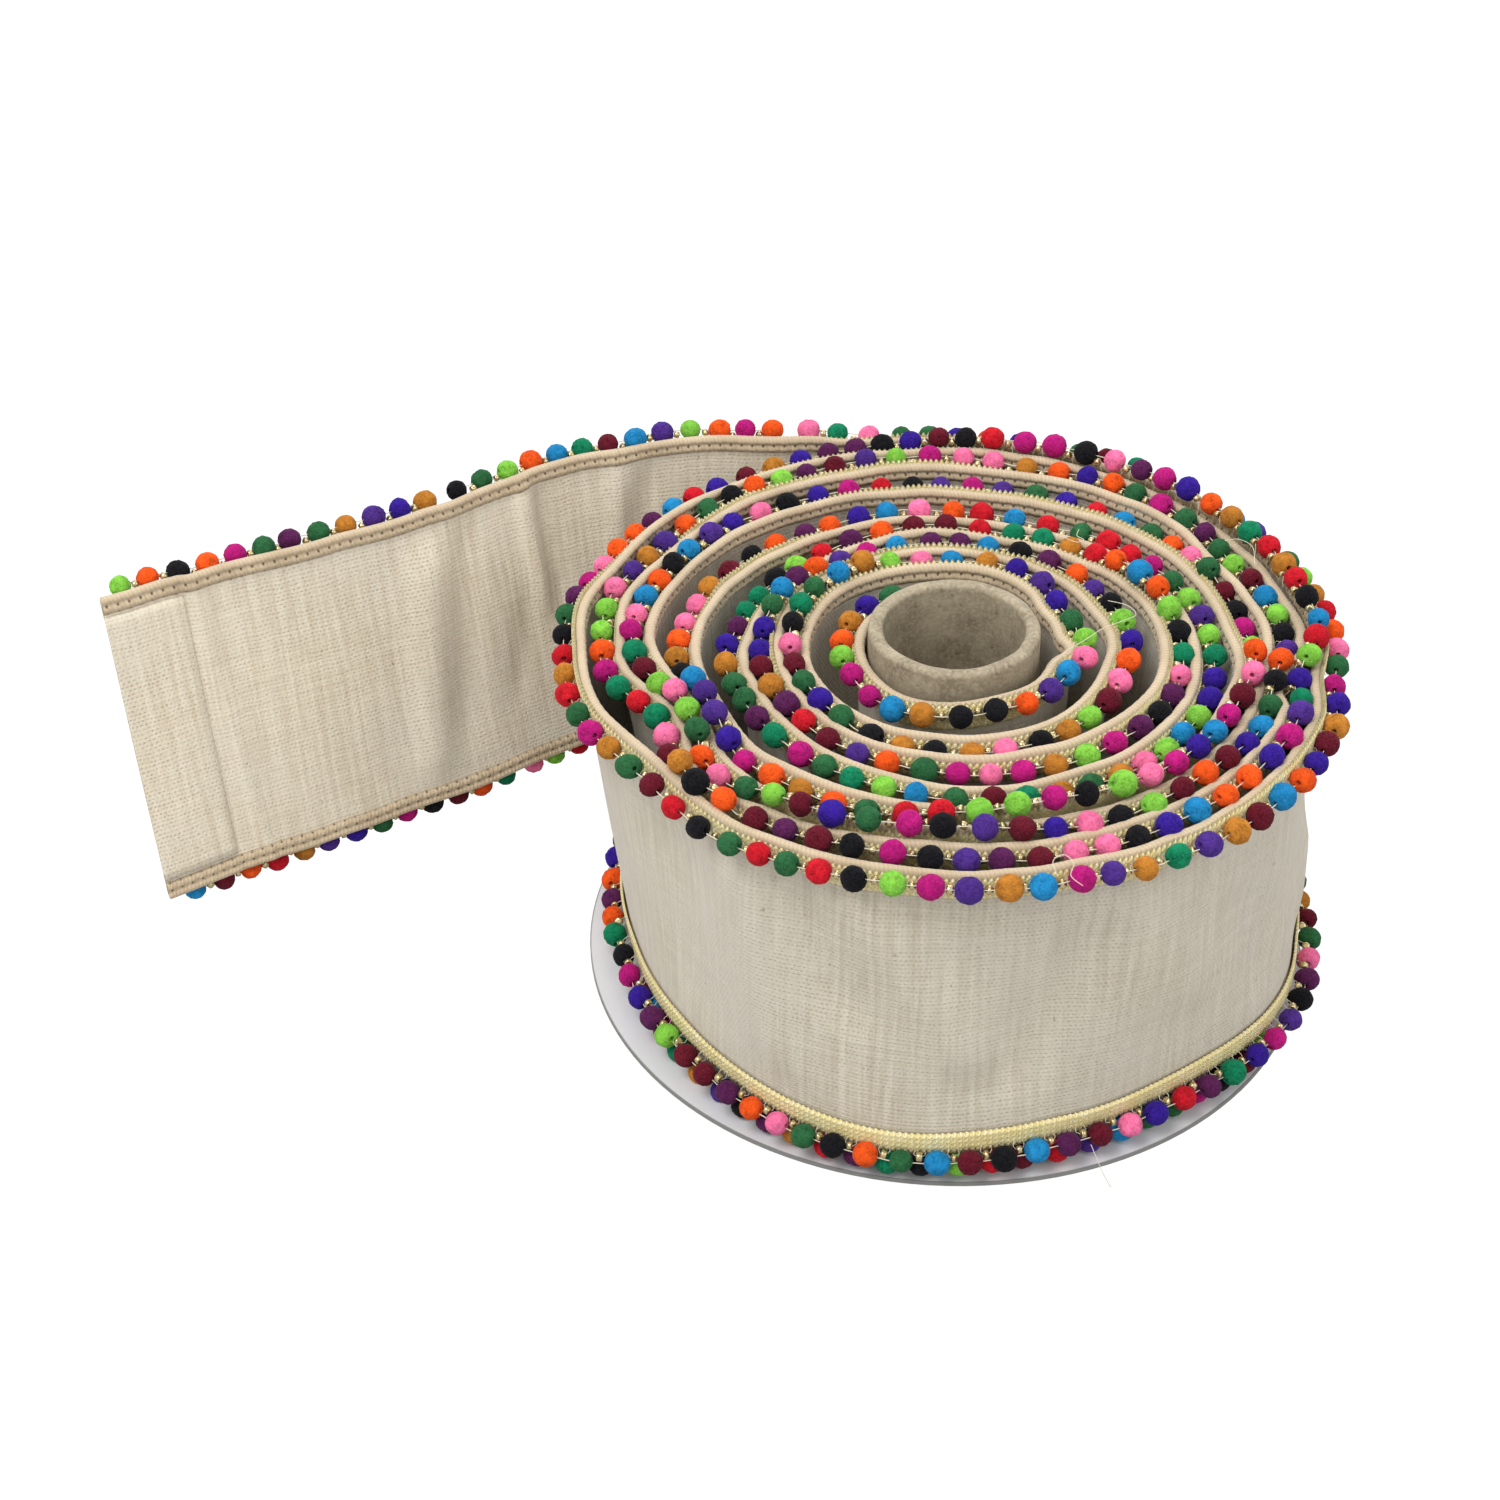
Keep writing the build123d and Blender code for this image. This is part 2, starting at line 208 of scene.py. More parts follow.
STRAY_RADIUS = 0.07
STRAYS = [  # points that each loose thread passes through, in millimetres
    [(16.0, -11.2, 70.8), (19.5, -8.6, 72.2), (23.0, -6.5, 73.0), (26.5, -3.0, 72.8), (30.6, 0.2, 72.2),
     (33.5, 3.0, 71.6), (32.4, 6.4, 71.4), (29.0, 7.4, 71.9)],
    [(24.6, 31.5, 71.2), (24.2, 28.9, 72.0), (26.0, 27.2, 72.2), (27.4, 28.6, 71.8), (26.4, 30.6, 71.5),
     (27.2, 33.6, 71.0)],
    [(10.2, -68.6, 69.6), (9.6, -66.6, 71.0), (11.4, -65.4, 71.4), (12.9, -67.2, 71.0), (12.2, -69.4, 70.2),
     (14.0, -70.8, 69.2)],
    [(54.4, 28.3, 70.8), (56.8, 27.4, 71.6), (58.9, 24.6, 71.6), (58.6, 20.3, 70.6)],
    [(21.7, -46.9, 69.8), (23.4, -45.6, 70.6), (24.8, -47.2, 70.4), (26.6, -46.4, 69.9)],
    [(19.0, -70.6, 10.4), (19.9, -71.9, 8.4), (21.1, -73.2, 5.8), (22.4, -74.2, 3.4)],
]

# ---- colours, linear ----
LINEN_SHADES = [  # warm, pale and cool threads, each with painted shade on the winding and without it on the tail
    ((0.43, 0.375, 0.285), (0.57, 0.475, 0.35)),
    ((0.575, 0.53, 0.43), (0.735, 0.665, 0.53)),
    ((0.53, 0.50, 0.43), (0.66, 0.62, 0.52)),
]
POM_COLOURS = {
    "red": (0.52, 0.008, 0.018),
    "maroon": (0.11, 0.006, 0.016),
    "orange": (0.80, 0.085, 0.008),
    "ochre": (0.46, 0.175, 0.022),
    "lime": (0.20, 0.52, 0.055),
    "emerald": (0.004, 0.19, 0.085),
    "forest": (0.022, 0.115, 0.04),
    "turquoise": (0.012, 0.21, 0.46),
    "royal": (0.03, 0.009, 0.24),
    "violet": (0.062, 0.022, 0.20),
    "plum": (0.085, 0.012, 0.07),
    "magenta": (0.42, 0.008, 0.16),
    "pink": (0.88, 0.16, 0.33),
    "black": (0.006, 0.006, 0.008),
}

# ---- stage, in metres ----
STAGE_SIZE = 3.0
LIGHTS = [  # name, place, size and power in watts
    ("key", (-0.6, -0.5, 1.4), 0.7, 15.0),
    ("fill", (0.9, -0.6, 0.9), 0.8, 3.2),
    ("back", (0.1, 1.0, 1.0), 0.8, 6.0),
]
LIGHTS_AIM = (0, 0, 0.03)
CAMERA_PLACE = (-47.84, -404.49, 347.3)  # in millimetres
CAMERA_TURNS = (-1.47, 36.69, -0.95)  # yaw, downward pitch and roll, in degrees
CAMERA_LENS = 64.8
CAMERA_SENSOR = 36.0


def hermite(knots, places):
    """Smooth values through evenly spaced knots, at places counted in knots."""
    knots = np.asarray(knots, float)
    last = len(knots) - 1
    index = np.clip(places.astype(int), 0, last - 1)
    t = places - index
    before = knots[np.clip(index - 1, 0, last)]
    here, after = knots[index], knots[index + 1]
    beyond = knots[np.clip(index + 2, 0, last)]
    if knots.ndim > 1:
        t = t[:, None]
    slope_here, slope_after = (after - before) / 2, (beyond - here) / 2
    value = here * (2 * t**3 - 3 * t**2 + 1) + after * (3 * t**2 - 2 * t**3)
    return value + slope_here * (t**3 - 2 * t**2 + t) + slope_after * (t**3 - t**2)


def wave(s, length, seed):
    """Smooth random values from about -1 to 1 that change over the given length."""
    values = np.random.default_rng(seed).uniform(-1, 1, int(np.max(s) / length) + 4)
    return hermite(values, np.maximum(np.asarray(s, float) / length, 0))


def bump(s, centre, half_width):
    """A smooth hump of height 1."""
    away = np.clip(np.abs(s - centre) / half_width, 0, 1)
    return np.cos(away * math.pi / 2) ** 2


def walked_along(points):
    """Length walked along a line of points, up to each of them."""
    return np.concatenate([[0], np.cumsum(np.linalg.norm(np.diff(points, axis=0), axis=1))])


def smoothstep(share):
    """A share from 0 to 1, eased at both ends."""
    return share**2 * (3 - 2 * share)


class Ribbon:
    """The whole ribbon, from the core to the tail's end, as a surface over its length and its height."""

    step = 0.25

    def __init__(self):
        end = FIRST_QUARTER + QUARTER * (len(FOOT_RADII) - 1)
        angles = np.arange(WINDING_START, end + 0.5, 1.0)
        quarters = (angles - FIRST_QUARTER) / QUARTER
        foot_radii, top_radii = hermite(FOOT_RADII, quarters), hermite(TOP_RADII, quarters)
        for centre, half_width, depth in KINKS:
            top_radii += depth * bump(angles, centre, half_width)
        top_radii += 0.3 * wave(angles, 24, 51) * np.clip((end - angles) / 60, 0, 1)
        turn = np.radians(angles)
        ray = np.stack([np.cos(turn), np.sin(turn), np.zeros_like(turn)], 1)
        places = np.linspace(0, len(TAIL_STATIONS), 400)[2:]
        tail = hermite([(0.0, FOOT_RADII[-1], 0.0)] + TAIL_STATIONS, places)
        foot_rail, top_rail = (np.concatenate([ray * r[:, None], tail]) for r in (foot_radii, top_radii))
        middle = (foot_rail + top_rail) / 2
        lengths = walked_along(middle[:, :2])
        self.length = lengths[-1]
        self.tail_start = lengths[len(angles) - 1]
        self.s = s = np.arange(0, self.length, self.step)
        self.foot, self.foot_out = self.laid(foot_rail, lengths)
        self.top, self.top_out = self.laid(top_rail, lengths)
        self.on_tail = smoothstep(np.clip((s - self.tail_start) / 30, 0, 1))
        direction = np.degrees(np.arctan2(self.foot[:, 1], self.foot[:, 0])) % 360
        draft = np.interp(direction, *zip(*DRAFT)) * (1 - self.on_tail)
        draft = self.smooth(draft[:, None], 81)
        lean = self.foot[:, 2:].copy()
        self.foot *= 1 - draft
        self.foot[:, :2] -= self.foot_out[:, :2] * lean
        turned = 0.8 * wave(s, 95, 8) * (1 - self.on_tail)
        self.top[:, 2] = RIBBON_TOP + 0.5 * wave(s, 17, 1) + 0.25 * wave(s, 6, 2) - 0.6 + turned
        self.foot[:, 2] = RIBBON_LOW + 0.3 * wave(s, 19, 3) + 0.15 * wave(s, 7, 4) + 0.3
        self.bulge = 0.9 * wave(s, 31, 5) + 0.5 * wave(s, 13, 6)
        self.lean_wave = 0.35 * wave(s, 23, 7)
        self.angle = np.interp(s, lengths[: len(angles)], angles)
        self.gap_top, self.gap_low = (self.gap(angles, r) for r in (top_radii, foot_radii))

    def laid(self, rail, lengths):
        """A rail at the even lengths, smoothed, and its outward direction."""
        line = np.stack([np.interp(self.s, lengths, rail[:, k]) for k in range(3)], 1)
        line[:, :2] = self.smooth(line[:, :2], 9)
        heading = self.smooth(np.gradient(line[:, :2], axis=0), 13)
        heading /= np.linalg.norm(heading, axis=1)[:, None]
        return line, np.stack([heading[:, 1], -heading[:, 0], np.zeros(len(heading))], 1)

    def gap(self, angles, radii):
        """Distance out to the next turn of the winding, which the last turn hasn't."""
        beyond = np.interp(self.angle + 360, angles, radii, right=200.0)
        return beyond - np.interp(self.angle, angles, radii)

    @staticmethod
    def smooth(values, width):
        """A running mean of each column, which keeps the first and the last row."""
        pad = width // 2
        padded = np.concatenate([
            2 * values[:1] - values[pad:0:-1],
            values,
            2 * values[-1:] - values[-2 : -pad - 2 : -1],
        ])
        kernel = np.ones(width) / width
        return np.stack([np.convolve(padded[:, k], kernel, "valid") for k in range(values.shape[1])], 1)

    def sample(self, table, s):
        """The rows of a table at lengths s."""
        return np.stack([np.interp(s, self.s, table[:, k]) for k in range(table.shape[1])], -1)

    def frame_at(self, s, share):
        """Foot, top, outward direction and direction up the ribbon, at a share of its height."""
        foot, top = self.sample(self.foot, s), self.sample(self.top, s)
        out = self.sample(self.foot_out, s) * (1 - share) + self.sample(self.top_out, s) * share
        up = top - foot
        up /= np.linalg.norm(up, axis=-1, keepdims=True)
        out = out - up * np.sum(out * up, axis=-1, keepdims=True)
        out /= np.linalg.norm(out, axis=-1, keepdims=True)
        return foot, top, out, up

    def folds(self, s, share):
        """How far the cloth stands out or in at its soft folds."""
        depth = np.zeros(np.broadcast(s, share).shape)
        for place, slant, half_width, height, low, high in FOLDS:
            centre = self.length - place if place < LEAST_ANGLE else np.interp(place, self.angle, self.s)
            away = (s - centre - slant * (share - 0.5)) / half_width
            ends = np.clip((share - low) / 0.18, 0, 1) * np.clip((high - share) / 0.18, 0, 1)
            depth += height * np.exp(-(away**2)) * ends * ends * (3 - 2 * ends)
        return depth

    def at(self, s, h, o):
        """Points at lengths s, heights h and offsets o from the cloth's middle, which all broadcast."""
        s, h, o = np.broadcast_arrays(np.asarray(s, float), h, o)
        share = h / WIDTH
        inside = np.clip(share, 0, 1)
        foot, top, out, up = self.frame_at(s, inside[..., None])
        soft = np.interp(s, self.s, self.bulge) * np.sin(inside * math.pi)
        soft = soft + np.interp(s, self.s, self.lean_wave) * np.sin(inside * 2 * math.pi)
        soft = soft + self.folds(s, inside)
        return foot + (top - foot) * share[..., None] + out * (o + soft)[..., None]


ribbon = Ribbon()


def length_nearest(point):
    """The length along the tail at which a point of the frame, in metres, lies beside the ribbon."""
    s = ribbon.s[ribbon.s > ribbon.tail_start]
    middle = ribbon.at(s, WIDTH / 2, 0.0)
    return s[np.argmin(np.linalg.norm(middle - np.array(point) / MM, axis=1))]


JOINTS = {j["name"]: j for j in frame["joints"]}
SWING = length_nearest(JOINTS["tail_swing"]["pos_m"])
CURL = length_nearest(JOINTS["tail_curl"]["pos_m"])
PLUMB_END = SWING - 26.0  # up to here the ribbon rides on the spool
OUTER_TURN = ribbon.tail_start - OUTER_TURN_LENGTH
TAIL_MIDDLE = (SWING + CURL) / 2
BEND = 9.0  # half the length of ribbon that bend_ends spans on each side of a joint
SPANS = {
    "wound": (0.0, PLUMB_END),
    "root": (PLUMB_END, TAIL_MIDDLE),
    "end": (TAIL_MIDDLE, ribbon.length - 0.3),
}


# ---- meshes ----

CREASE_ANGLE = math.radians(55)


def link(name, verts_mm, faces, material, uv=None, tone=None, creased=False):
    """A smooth mesh object from points in millimetres and quads."""
    mesh = bpy.data.meshes.new(name)
    verts = np.asarray(verts_mm, np.float32) * MM
    count, corners = faces.shape
    loops = faces.ravel().astype(np.int32)
    mesh.vertices.add(len(verts))
    mesh.vertices.foreach_set("co", verts.ravel())
    mesh.loops.add(len(loops))
    mesh.loops.foreach_set("vertex_index", loops)
    mesh.polygons.add(count)
    mesh.polygons.foreach_set("loop_start", np.arange(0, count * corners, corners, dtype=np.int32))
    mesh.polygons.foreach_set("use_smooth", np.ones(count, bool))
    if uv is not None:
        layer = mesh.uv_layers.new(name="cloth_uv")
        layer.data.foreach_set("uv", (np.asarray(uv, np.float32)[loops] * MM).ravel())
    if tone is not None:
        attribute = mesh.attributes.new("tone", "FLOAT", "POINT")
        attribute.data.foreach_set("value", np.asarray(tone, np.float32))
    mesh.update(calc_edges=True)
    mesh.validate()
    if creased:
        mesh.set_sharp_from_angle(angle=CREASE_ANGLE)
    piece = bpy.data.objects.new(name, mesh)
    bpy.context.scene.collection.objects.link(piece)
    mesh.materials.append(material)
    return piece


def facing_out(points, faces):
    """The quads of a closed mesh, turned round if they face inwards."""
    a, b, c, d = (points[faces[:, k]] for k in range(4))
    volume = np.sum(np.cross(a, b) * c) + np.sum(np.cross(a, c) * d)
    return faces if volume > 0 else faces[:, ::-1]


def tube_quads(count, around):
    """Quads of a closed tube with flat ends, from rings of an even number of points."""
    row = np.arange(count - 1)[:, None] * around
    here = np.arange(around)[None]
    ahead = (here + 1) % around
    side = np.stack([row + here, row + ahead, row + around + ahead, row + around + here], -1)
    k = np.arange(around // 2 - 1)
    cap = np.stack([k, around - 1 - k, around - 2 - k, k + 1], -1)
    end = cap[:, ::-1] + (count - 1) * around
    return np.concatenate([side.reshape(-1, 4), cap, end])


def sweep(name, s, h, o, material, creased=False):
    """A closed tube along the ribbon. h and o give its section's corners, one row for each length in s."""
    count, around = len(s), np.shape(h)[-1]
    h, o = np.broadcast_to(h, (count, around)), np.broadcast_to(o, (count, around))
    points = ribbon.at(s[:, None], h, o).reshape(-1, 3)
    step = np.hypot(np.diff(h, axis=1), np.diff(o, axis=1))
    walked = np.concatenate([np.zeros((count, 1)), np.cumsum(step, 1)], 1)
    uv = np.stack([np.repeat(s, around), walked.ravel()], 1)
    quads = facing_out(points, tube_quads(count, around))
    return link(name, points, quads, material, uv, creased=creased)


def strand(points, radius, around=6):
    """Points and quads of a round thread along a line of points."""
    points = np.asarray(points, float)
    heading = np.gradient(points, axis=0)
    heading /= np.linalg.norm(heading, axis=1)[:, None]
    side = np.cross(heading, (0.31, 0.17, 0.93))
    side /= np.linalg.norm(side, axis=1)[:, None]
    other = np.cross(heading, side)
    turn = np.arange(around) / around * 2 * math.pi
    ring = side[:, None] * np.cos(turn)[None, :, None] + other[:, None] * np.sin(turn)[None, :, None]
    verts = (points[:, None] + radius * ring).reshape(-1, 3)
    return verts, facing_out(verts, tube_quads(len(points), around))


def merged(parts):
    """One set of points, faces and tones from several (points, faces, tone)."""
    verts, faces, tones, base = [], [], [], 0
    for points, quads, tone in parts:
        verts.append(points)
        faces.append(quads + base)
        tones.append(np.full(len(points), tone))
        base += len(points)
    return np.concatenate(verts), np.concatenate(faces), np.concatenate(tones)


def merged_strands(strands):
    """One set of points and quads from several strands."""
    verts, faces, _ = merged([(points, quads, 0) for points, quads in strands])
    return verts, faces


def turned_shape(profile, around):
    """A closed shape turned about X from a half section of (x, radius)."""
    profile = np.asarray(profile, float)
    turn = np.arange(around) / around * 2 * math.pi
    verts = np.stack([
        np.repeat(profile[:, 0], around),
        (profile[:, 1:] * np.cos(turn)[None]).ravel(),
        (profile[:, 1:] * np.sin(turn)[None]).ravel(),
    ], 1)
    return verts, facing_out(verts, tube_quads(len(profile), around))


# ---- materials ----

class Shader:
    """A short way to build a node material."""

    def __init__(self, name):
        self.material = bpy.data.materials.new(name)
        self.material.use_nodes = True
        self.tree = self.material.node_tree
        self.bsdf = self.tree.nodes["Principled BSDF"]

    def node(self, kind, inputs=None, **settings):
        node = self.tree.nodes.new("ShaderNode" + kind)
        for key, value in settings.items():
            setattr(node, key, value)
        for key, value in (inputs or {}).items():
            self.put(node.inputs[key], value)
        return node

    def put(self, socket, value):
        if isinstance(value, bpy.types.NodeSocket):
            self.tree.links.new(value, socket)
        elif socket.type == "RGBA":
            socket.default_value = (*value, 1.0)
        else:
            socket.default_value = value

    def set(self, **inputs):
        for key, value in inputs.items():
            self.put(self.bsdf.inputs[key.replace("_", " ")], value)

    def math(self, operation, a, b=0.0, c=0.0):
        return self.node("Math", {0: a, 1: b, 2: c}, operation=operation).outputs[0]

    def times(self, a, b):
        return self.math("MULTIPLY", a, b)

    def plus(self, a, b):
        return self.math("ADD", a, b)

    def minus(self, a, b):
        return self.math("SUBTRACT", a, b)

    def scaled_plus(self, a, scale, b):
        return self.math("MULTIPLY_ADD", a, scale, b)

    def noise(self, vector, scale, detail=2.0, roughness=0.5):
        inputs = {"Vector": vector, "Scale": scale, "Detail": detail, "Roughness": roughness}
        return self.node("TexNoise", inputs).outputs["Fac"]

    def ramp(self, value, low, high, to_low=0.0, to_high=1.0):
        inputs = {"Value": value, "From Min": low, "From Max": high, "To Min": to_low, "To Max": to_high}
        return self.node("MapRange", inputs).outputs[0]

    def mix(self, factor, a, b):
        node = self.node("Mix", data_type="RGBA")
        self.put(node.inputs[0], factor)
        self.put(node.inputs[6], a)
        self.put(node.inputs[7], b)
        return node.outputs[2]

    def bump(self, height, distance, strength):
        inputs = {"Height": height, "Distance": distance, "Strength": strength}
        return self.node("Bump", inputs).outputs[0]

    def uv(self):
        """Length along the ribbon and distance round the piece, in millimetres."""
        coordinates = self.node("UVMap", uv_map="cloth_uv").outputs[0]
        split = self.node("SeparateXYZ", {0: coordinates})
        return [self.times(split.outputs[k], 1 / MM) for k in range(2)]

    def place(self):
        return self.node("TexCoord").outputs["Object"]


def wavy(sh, coordinate, pitch, shift=0.0):
    """A sine from -1 to 1 with the given pitch."""
    turns = sh.scaled_plus(coordinate, 2 * math.pi / pitch, shift)
    return sh.math("SINE", turns)


def off_middle(sh, count):
    """Distance of a running count from the middle of its unit, 0 to a half."""
    return sh.math("ABSOLUTE", sh.minus(sh.math("FRACT", count), 0.5))


def slubs_along(sh, u, v, scale_u, scale_v):
    """Thick and thin places of threads that run the way of the smaller scale."""
    inputs = {0: sh.times(u, scale_u), 1: sh.times(v, scale_v)}
    return sh.noise(sh.node("CombineXYZ", inputs).outputs[0], 1.0, 4.0, 0.7)


def linen():
    """Plain weave: staggered dark dashes between slubby threads, warm and cool streaks both ways.
    On the winding the thin cloth is given painted shade: it is coloured darker than on the tail."""
    sh = Shader("linen")
    u, v = sh.uv()
    place = sh.place()
    wander = sh.noise(place, 240.0, 3.0)
    along = sh.scaled_plus(wander, 1.5, u)
    across = sh.scaled_plus(wander, 1.1, v)
    row = sh.math("DIVIDE", across, WEFT_PITCH)
    stagger = sh.times(sh.math("FLOOR", row), 0.5)
    column = sh.plus(sh.math("DIVIDE", along, WARP_PITCH), stagger)
    in_row = off_middle(sh, row)
    in_column = off_middle(sh, column)
    loose = sh.ramp(sh.noise(place, 700.0, 2.0), 0.36, 0.6, 0.35, 1.0)
    narrow, short = sh.ramp(in_row, 0.06, 0.3, 1.0, 0.0), sh.ramp(in_column, 0.14, 0.4, 1.0, 0.0)
    dash = sh.times(sh.times(narrow, short), loose)
    weft_slubs = sh.times(slubs_along(sh, u, v, 0.035, 0.9), 0.6)
    slubs = sh.scaled_plus(slubs_along(sh, u, v, 0.9, 0.035), 1.4, weft_slubs)
    cloud = sh.noise(place, 34.0, 3.0)
    # painted shade: the cloth is coloured darker on the winding and fades to its own colour on the tail
    past_painted_shade = sh.ramp(u, PLUMB_END - 70.0, PLUMB_END + 25.0)
    warm, pale, cool = [sh.mix(past_painted_shade, painted_shaded, unshaded) for painted_shaded, unshaded in LINEN_SHADES]
    colour = sh.mix(sh.ramp(slubs, 0.78, 1.2), warm, pale)
    colour = sh.mix(sh.ramp(cloud, 0.38, 0.66, 0.0, 0.55), colour, cool)
    patch = sh.ramp(sh.noise(place, 24.0, 2.0), 0.38, 0.62, 0.14, 0.48)
    grain = sh.ramp(sh.noise(place, 2200.0, 1.0), 0.3, 0.7, 0.0, 0.16)
    colour = sh.mix(grain, colour, (0.36, 0.30, 0.21))
    colour = sh.mix(sh.times(dash, patch), colour, (0.27, 0.21, 0.135))
    fleck = sh.ramp(sh.noise(place, 1100.0, 0.0), 0.85, 0.88, 0.0, 0.5)
    colour = sh.mix(fleck, colour, (0.16, 0.09, 0.045))
    height = sh.minus(sh.times(slubs, 0.9), sh.times(dash, 0.9))
    sh.set(Base_Color=colour, Roughness=0.86, Normal=sh.bump(height, 0.14 * MM, 0.8))
    sh.set(Sheen_Weight=0.2, Sheen_Roughness=0.5, Specular_IOR_Level=0.25)
    return sh.material


def rolled_edge():
    """Satin-stitched fold: fine ribs across the roll and dark needle holes at the stitch pitch."""
    sh = Shader("rolled_edge")
    u, v = sh.uv()
    place = sh.place()
    fibres = wavy(sh, sh.scaled_plus(v, 0.25, u), RIB_PITCH)
    fine = wavy(sh, sh.scaled_plus(v, 0.4, u), RIB_PITCH / 3)
    hole_u = sh.ramp(wavy(sh, u, STITCH_PITCH, -math.pi / 2), 0.72, 0.97)
    off_rows = [sh.math("ABSOLUTE", sh.minus(v, row)) for row in HOLE_ROWS]
    rows = sh.math("MAXIMUM", *[sh.ramp(off_row, 0.18, 0.36, 1.0, 0.0) for off_row in off_rows])
    hole = sh.times(hole_u, rows)
    tone = sh.noise(place, 120.0, 2.0)
    colour = sh.mix(sh.ramp(tone, 0.3, 0.7), (0.47, 0.365, 0.235), (0.57, 0.455, 0.305))
    colour = sh.mix(sh.ramp(fibres, -1.0, 0.4, 0.26, 0.0), colour, (0.30, 0.21, 0.13))
    colour = sh.mix(sh.times(hole, 0.9), colour, (0.075, 0.05, 0.03))
    ribs = sh.scaled_plus(fine, 0.25, sh.times(fibres, 0.5))
    height = sh.minus(ribs, sh.times(hole, 2.4))
    sh.set(Base_Color=colour, Roughness=0.66, Normal=sh.bump(height, 0.10 * MM, 0.9))
    sh.set(Sheen_Weight=0.2, Specular_IOR_Level=0.3)
    return sh.material


def gold_braid():
    """Pale metallic yarn knitted in chevron bands, with a dull line where two bands meet and painted glints
    where it would catch the light.
    """
    sh = Shader("gold_braid")
    u, v = sh.uv()
    band = sh.math("ABSOLUTE", sh.minus(sh.math("MODULO", v, BAND_WIDTH), BAND_WIDTH / 2))
    chevrons = wavy(sh, sh.scaled_plus(band, 1.1, u), SCALLOP_PITCH / 2)
    painted_glint = sh.noise(sh.place(), 1500.0, 1.0)
    streak = sh.noise(sh.place(), 260.0, 2.0)
    pale, deep = (0.94, 0.81, 0.38), (0.72, 0.56, 0.20)
    colour = sh.mix(sh.ramp(chevrons, -1.0, 0.3, 0.75, 0.0), pale, deep)
    colour = sh.mix(sh.ramp(band, 0.36, 0.54, 0.0, 0.45), colour, (0.48, 0.36, 0.13))
    colour = sh.mix(sh.ramp(streak, 0.4, 0.7, 0.0, 0.4), colour, (0.95, 0.88, 0.58))
    # painted glint: bright specks stand in for light caught by the yarn
    colour = sh.mix(sh.ramp(painted_glint, 0.6, 0.75, 0.0, 0.6), colour, (1.0, 0.98, 0.84))
    height = sh.minus(sh.times(chevrons, 0.6), sh.ramp(band, 0.3, 0.54, 0.0, 1.2))
    sh.set(Base_Color=colour, Roughness=0.42, Normal=sh.bump(height, 0.12 * MM, 0.9))
    sh.set(Sheen_Weight=0.15, Specular_IOR_Level=0.4)
    return sh.material


def flock(colour_name, colour):
    """Short dyed pile on a felt ball."""
    sh = Shader("pom_" + colour_name)
    place = sh.place()
    tone = sh.node("Attribute", attribute_name="tone").outputs["Fac"]
    pile = sh.noise(place, 2300.0, 2.0, 0.7)
    tufts = sh.noise(place, 620.0, 2.0)
    deep = [c * 0.42 for c in colour]
    bright = [min(c * 1.28 + 0.012, 1.0) for c in colour]
    base = sh.mix(sh.ramp(tufts, 0.3, 0.68), deep, colour)
    base = sh.mix(sh.ramp(pile, 0.35, 0.72, 0.0, 0.75), base, bright)
    base = sh.mix(sh.ramp(tone, 0.0, 1.0, 0.3, 0.0), base, deep)
    height = sh.plus(pile, sh.times(tufts, 1.2))
    sh.set(Base_Color=base, Roughness=1.0, Normal=sh.bump(height, 0.28 * MM, 0.9))
    sh.set(Specular_IOR_Level=0.06, Sheen_Weight=0.22, Sheen_Roughness=0.45)
    tint = tuple(min(1.0, c * 1.5 + 0.15) for c in colour)
    sh.set(Sheen_Tint=tint)
    return sh.material


def plain(name, colour, roughness, metallic, grain, spread, depth=0.03):
    """A single stuff with fine grain and a slight change of colour."""
    sh = Shader(name)
    grains = sh.noise(sh.place(), grain, 3.0)
    darker = [c * (1 - spread) for c in colour]
    base = sh.mix(sh.ramp(grains, 0.3, 0.7), darker, colour)
    sh.set(Base_Color=base, Roughness=roughness, Metallic=metallic)
    sh.set(Normal=sh.bump(grains, depth * MM, 0.6))
    return sh.material


def white_card():
    """Smooth card, its cut edge darkened by painted shade."""
    sh = Shader("white_card")
    place = sh.place()
    flat = sh.node("VectorMath", {0: place, 1: (1.0, 1.0, 0.0)}, operation="MULTIPLY").outputs[0]
    reach = sh.node("VectorMath", {0: flat}, operation="LENGTH").outputs["Value"]
    # painted shade: a narrow band at the card's cut edge turns dark grey
    rim = sh.ramp(reach, (DISC_RADIUS - 0.35) * MM, (DISC_RADIUS - 0.1) * MM)
    tone = sh.ramp(sh.noise(place, 60.0, 2.0), 0.3, 0.7, 0.0, 0.3)
    colour = sh.mix(tone, (0.60, 0.60, 0.61), (0.53, 0.53, 0.55))
    sh.set(Base_Color=sh.mix(rim, colour, (0.20, 0.20, 0.19)), Roughness=0.5)
    return sh.material


def chipboard():
    """Grey-brown pulp board with flecks, darker lower down with painted shade."""
    sh = Shader("chipboard")
    place = sh.place()
    height_up = sh.node("SeparateXYZ", {0: place}).outputs[2]
    mottle, fine = sh.noise(place, 190.0, 4.0, 0.6), sh.noise(place, 1500.0, 2.0)
    flecks = sh.ramp(sh.noise(place, 900.0, 1.0), 0.68, 0.75)
    colour = sh.mix(sh.ramp(mottle, 0.3, 0.7), (0.18, 0.142, 0.09), (0.335, 0.285, 0.195))
    colour = sh.mix(sh.ramp(fine, 0.4, 0.75, 0.0, 0.5), colour, (0.50, 0.43, 0.31))
    colour = sh.mix(sh.times(flecks, 0.5), colour, (0.10, 0.065, 0.035))
    # painted shade: the board darkens towards the bottom of the tube, below 70 mm
    painted_shade_low = sh.ramp(height_up, 30 * MM, 70 * MM, 0.45, 0.0)
    colour = sh.mix(painted_shade_low, colour, (0.10, 0.07, 0.045))
    height = sh.plus(mottle, sh.times(fine, 0.4))
    sh.set(Base_Color=colour, Roughness=0.82, Normal=sh.bump(height, 0.15 * MM, 0.7))
    return sh.material


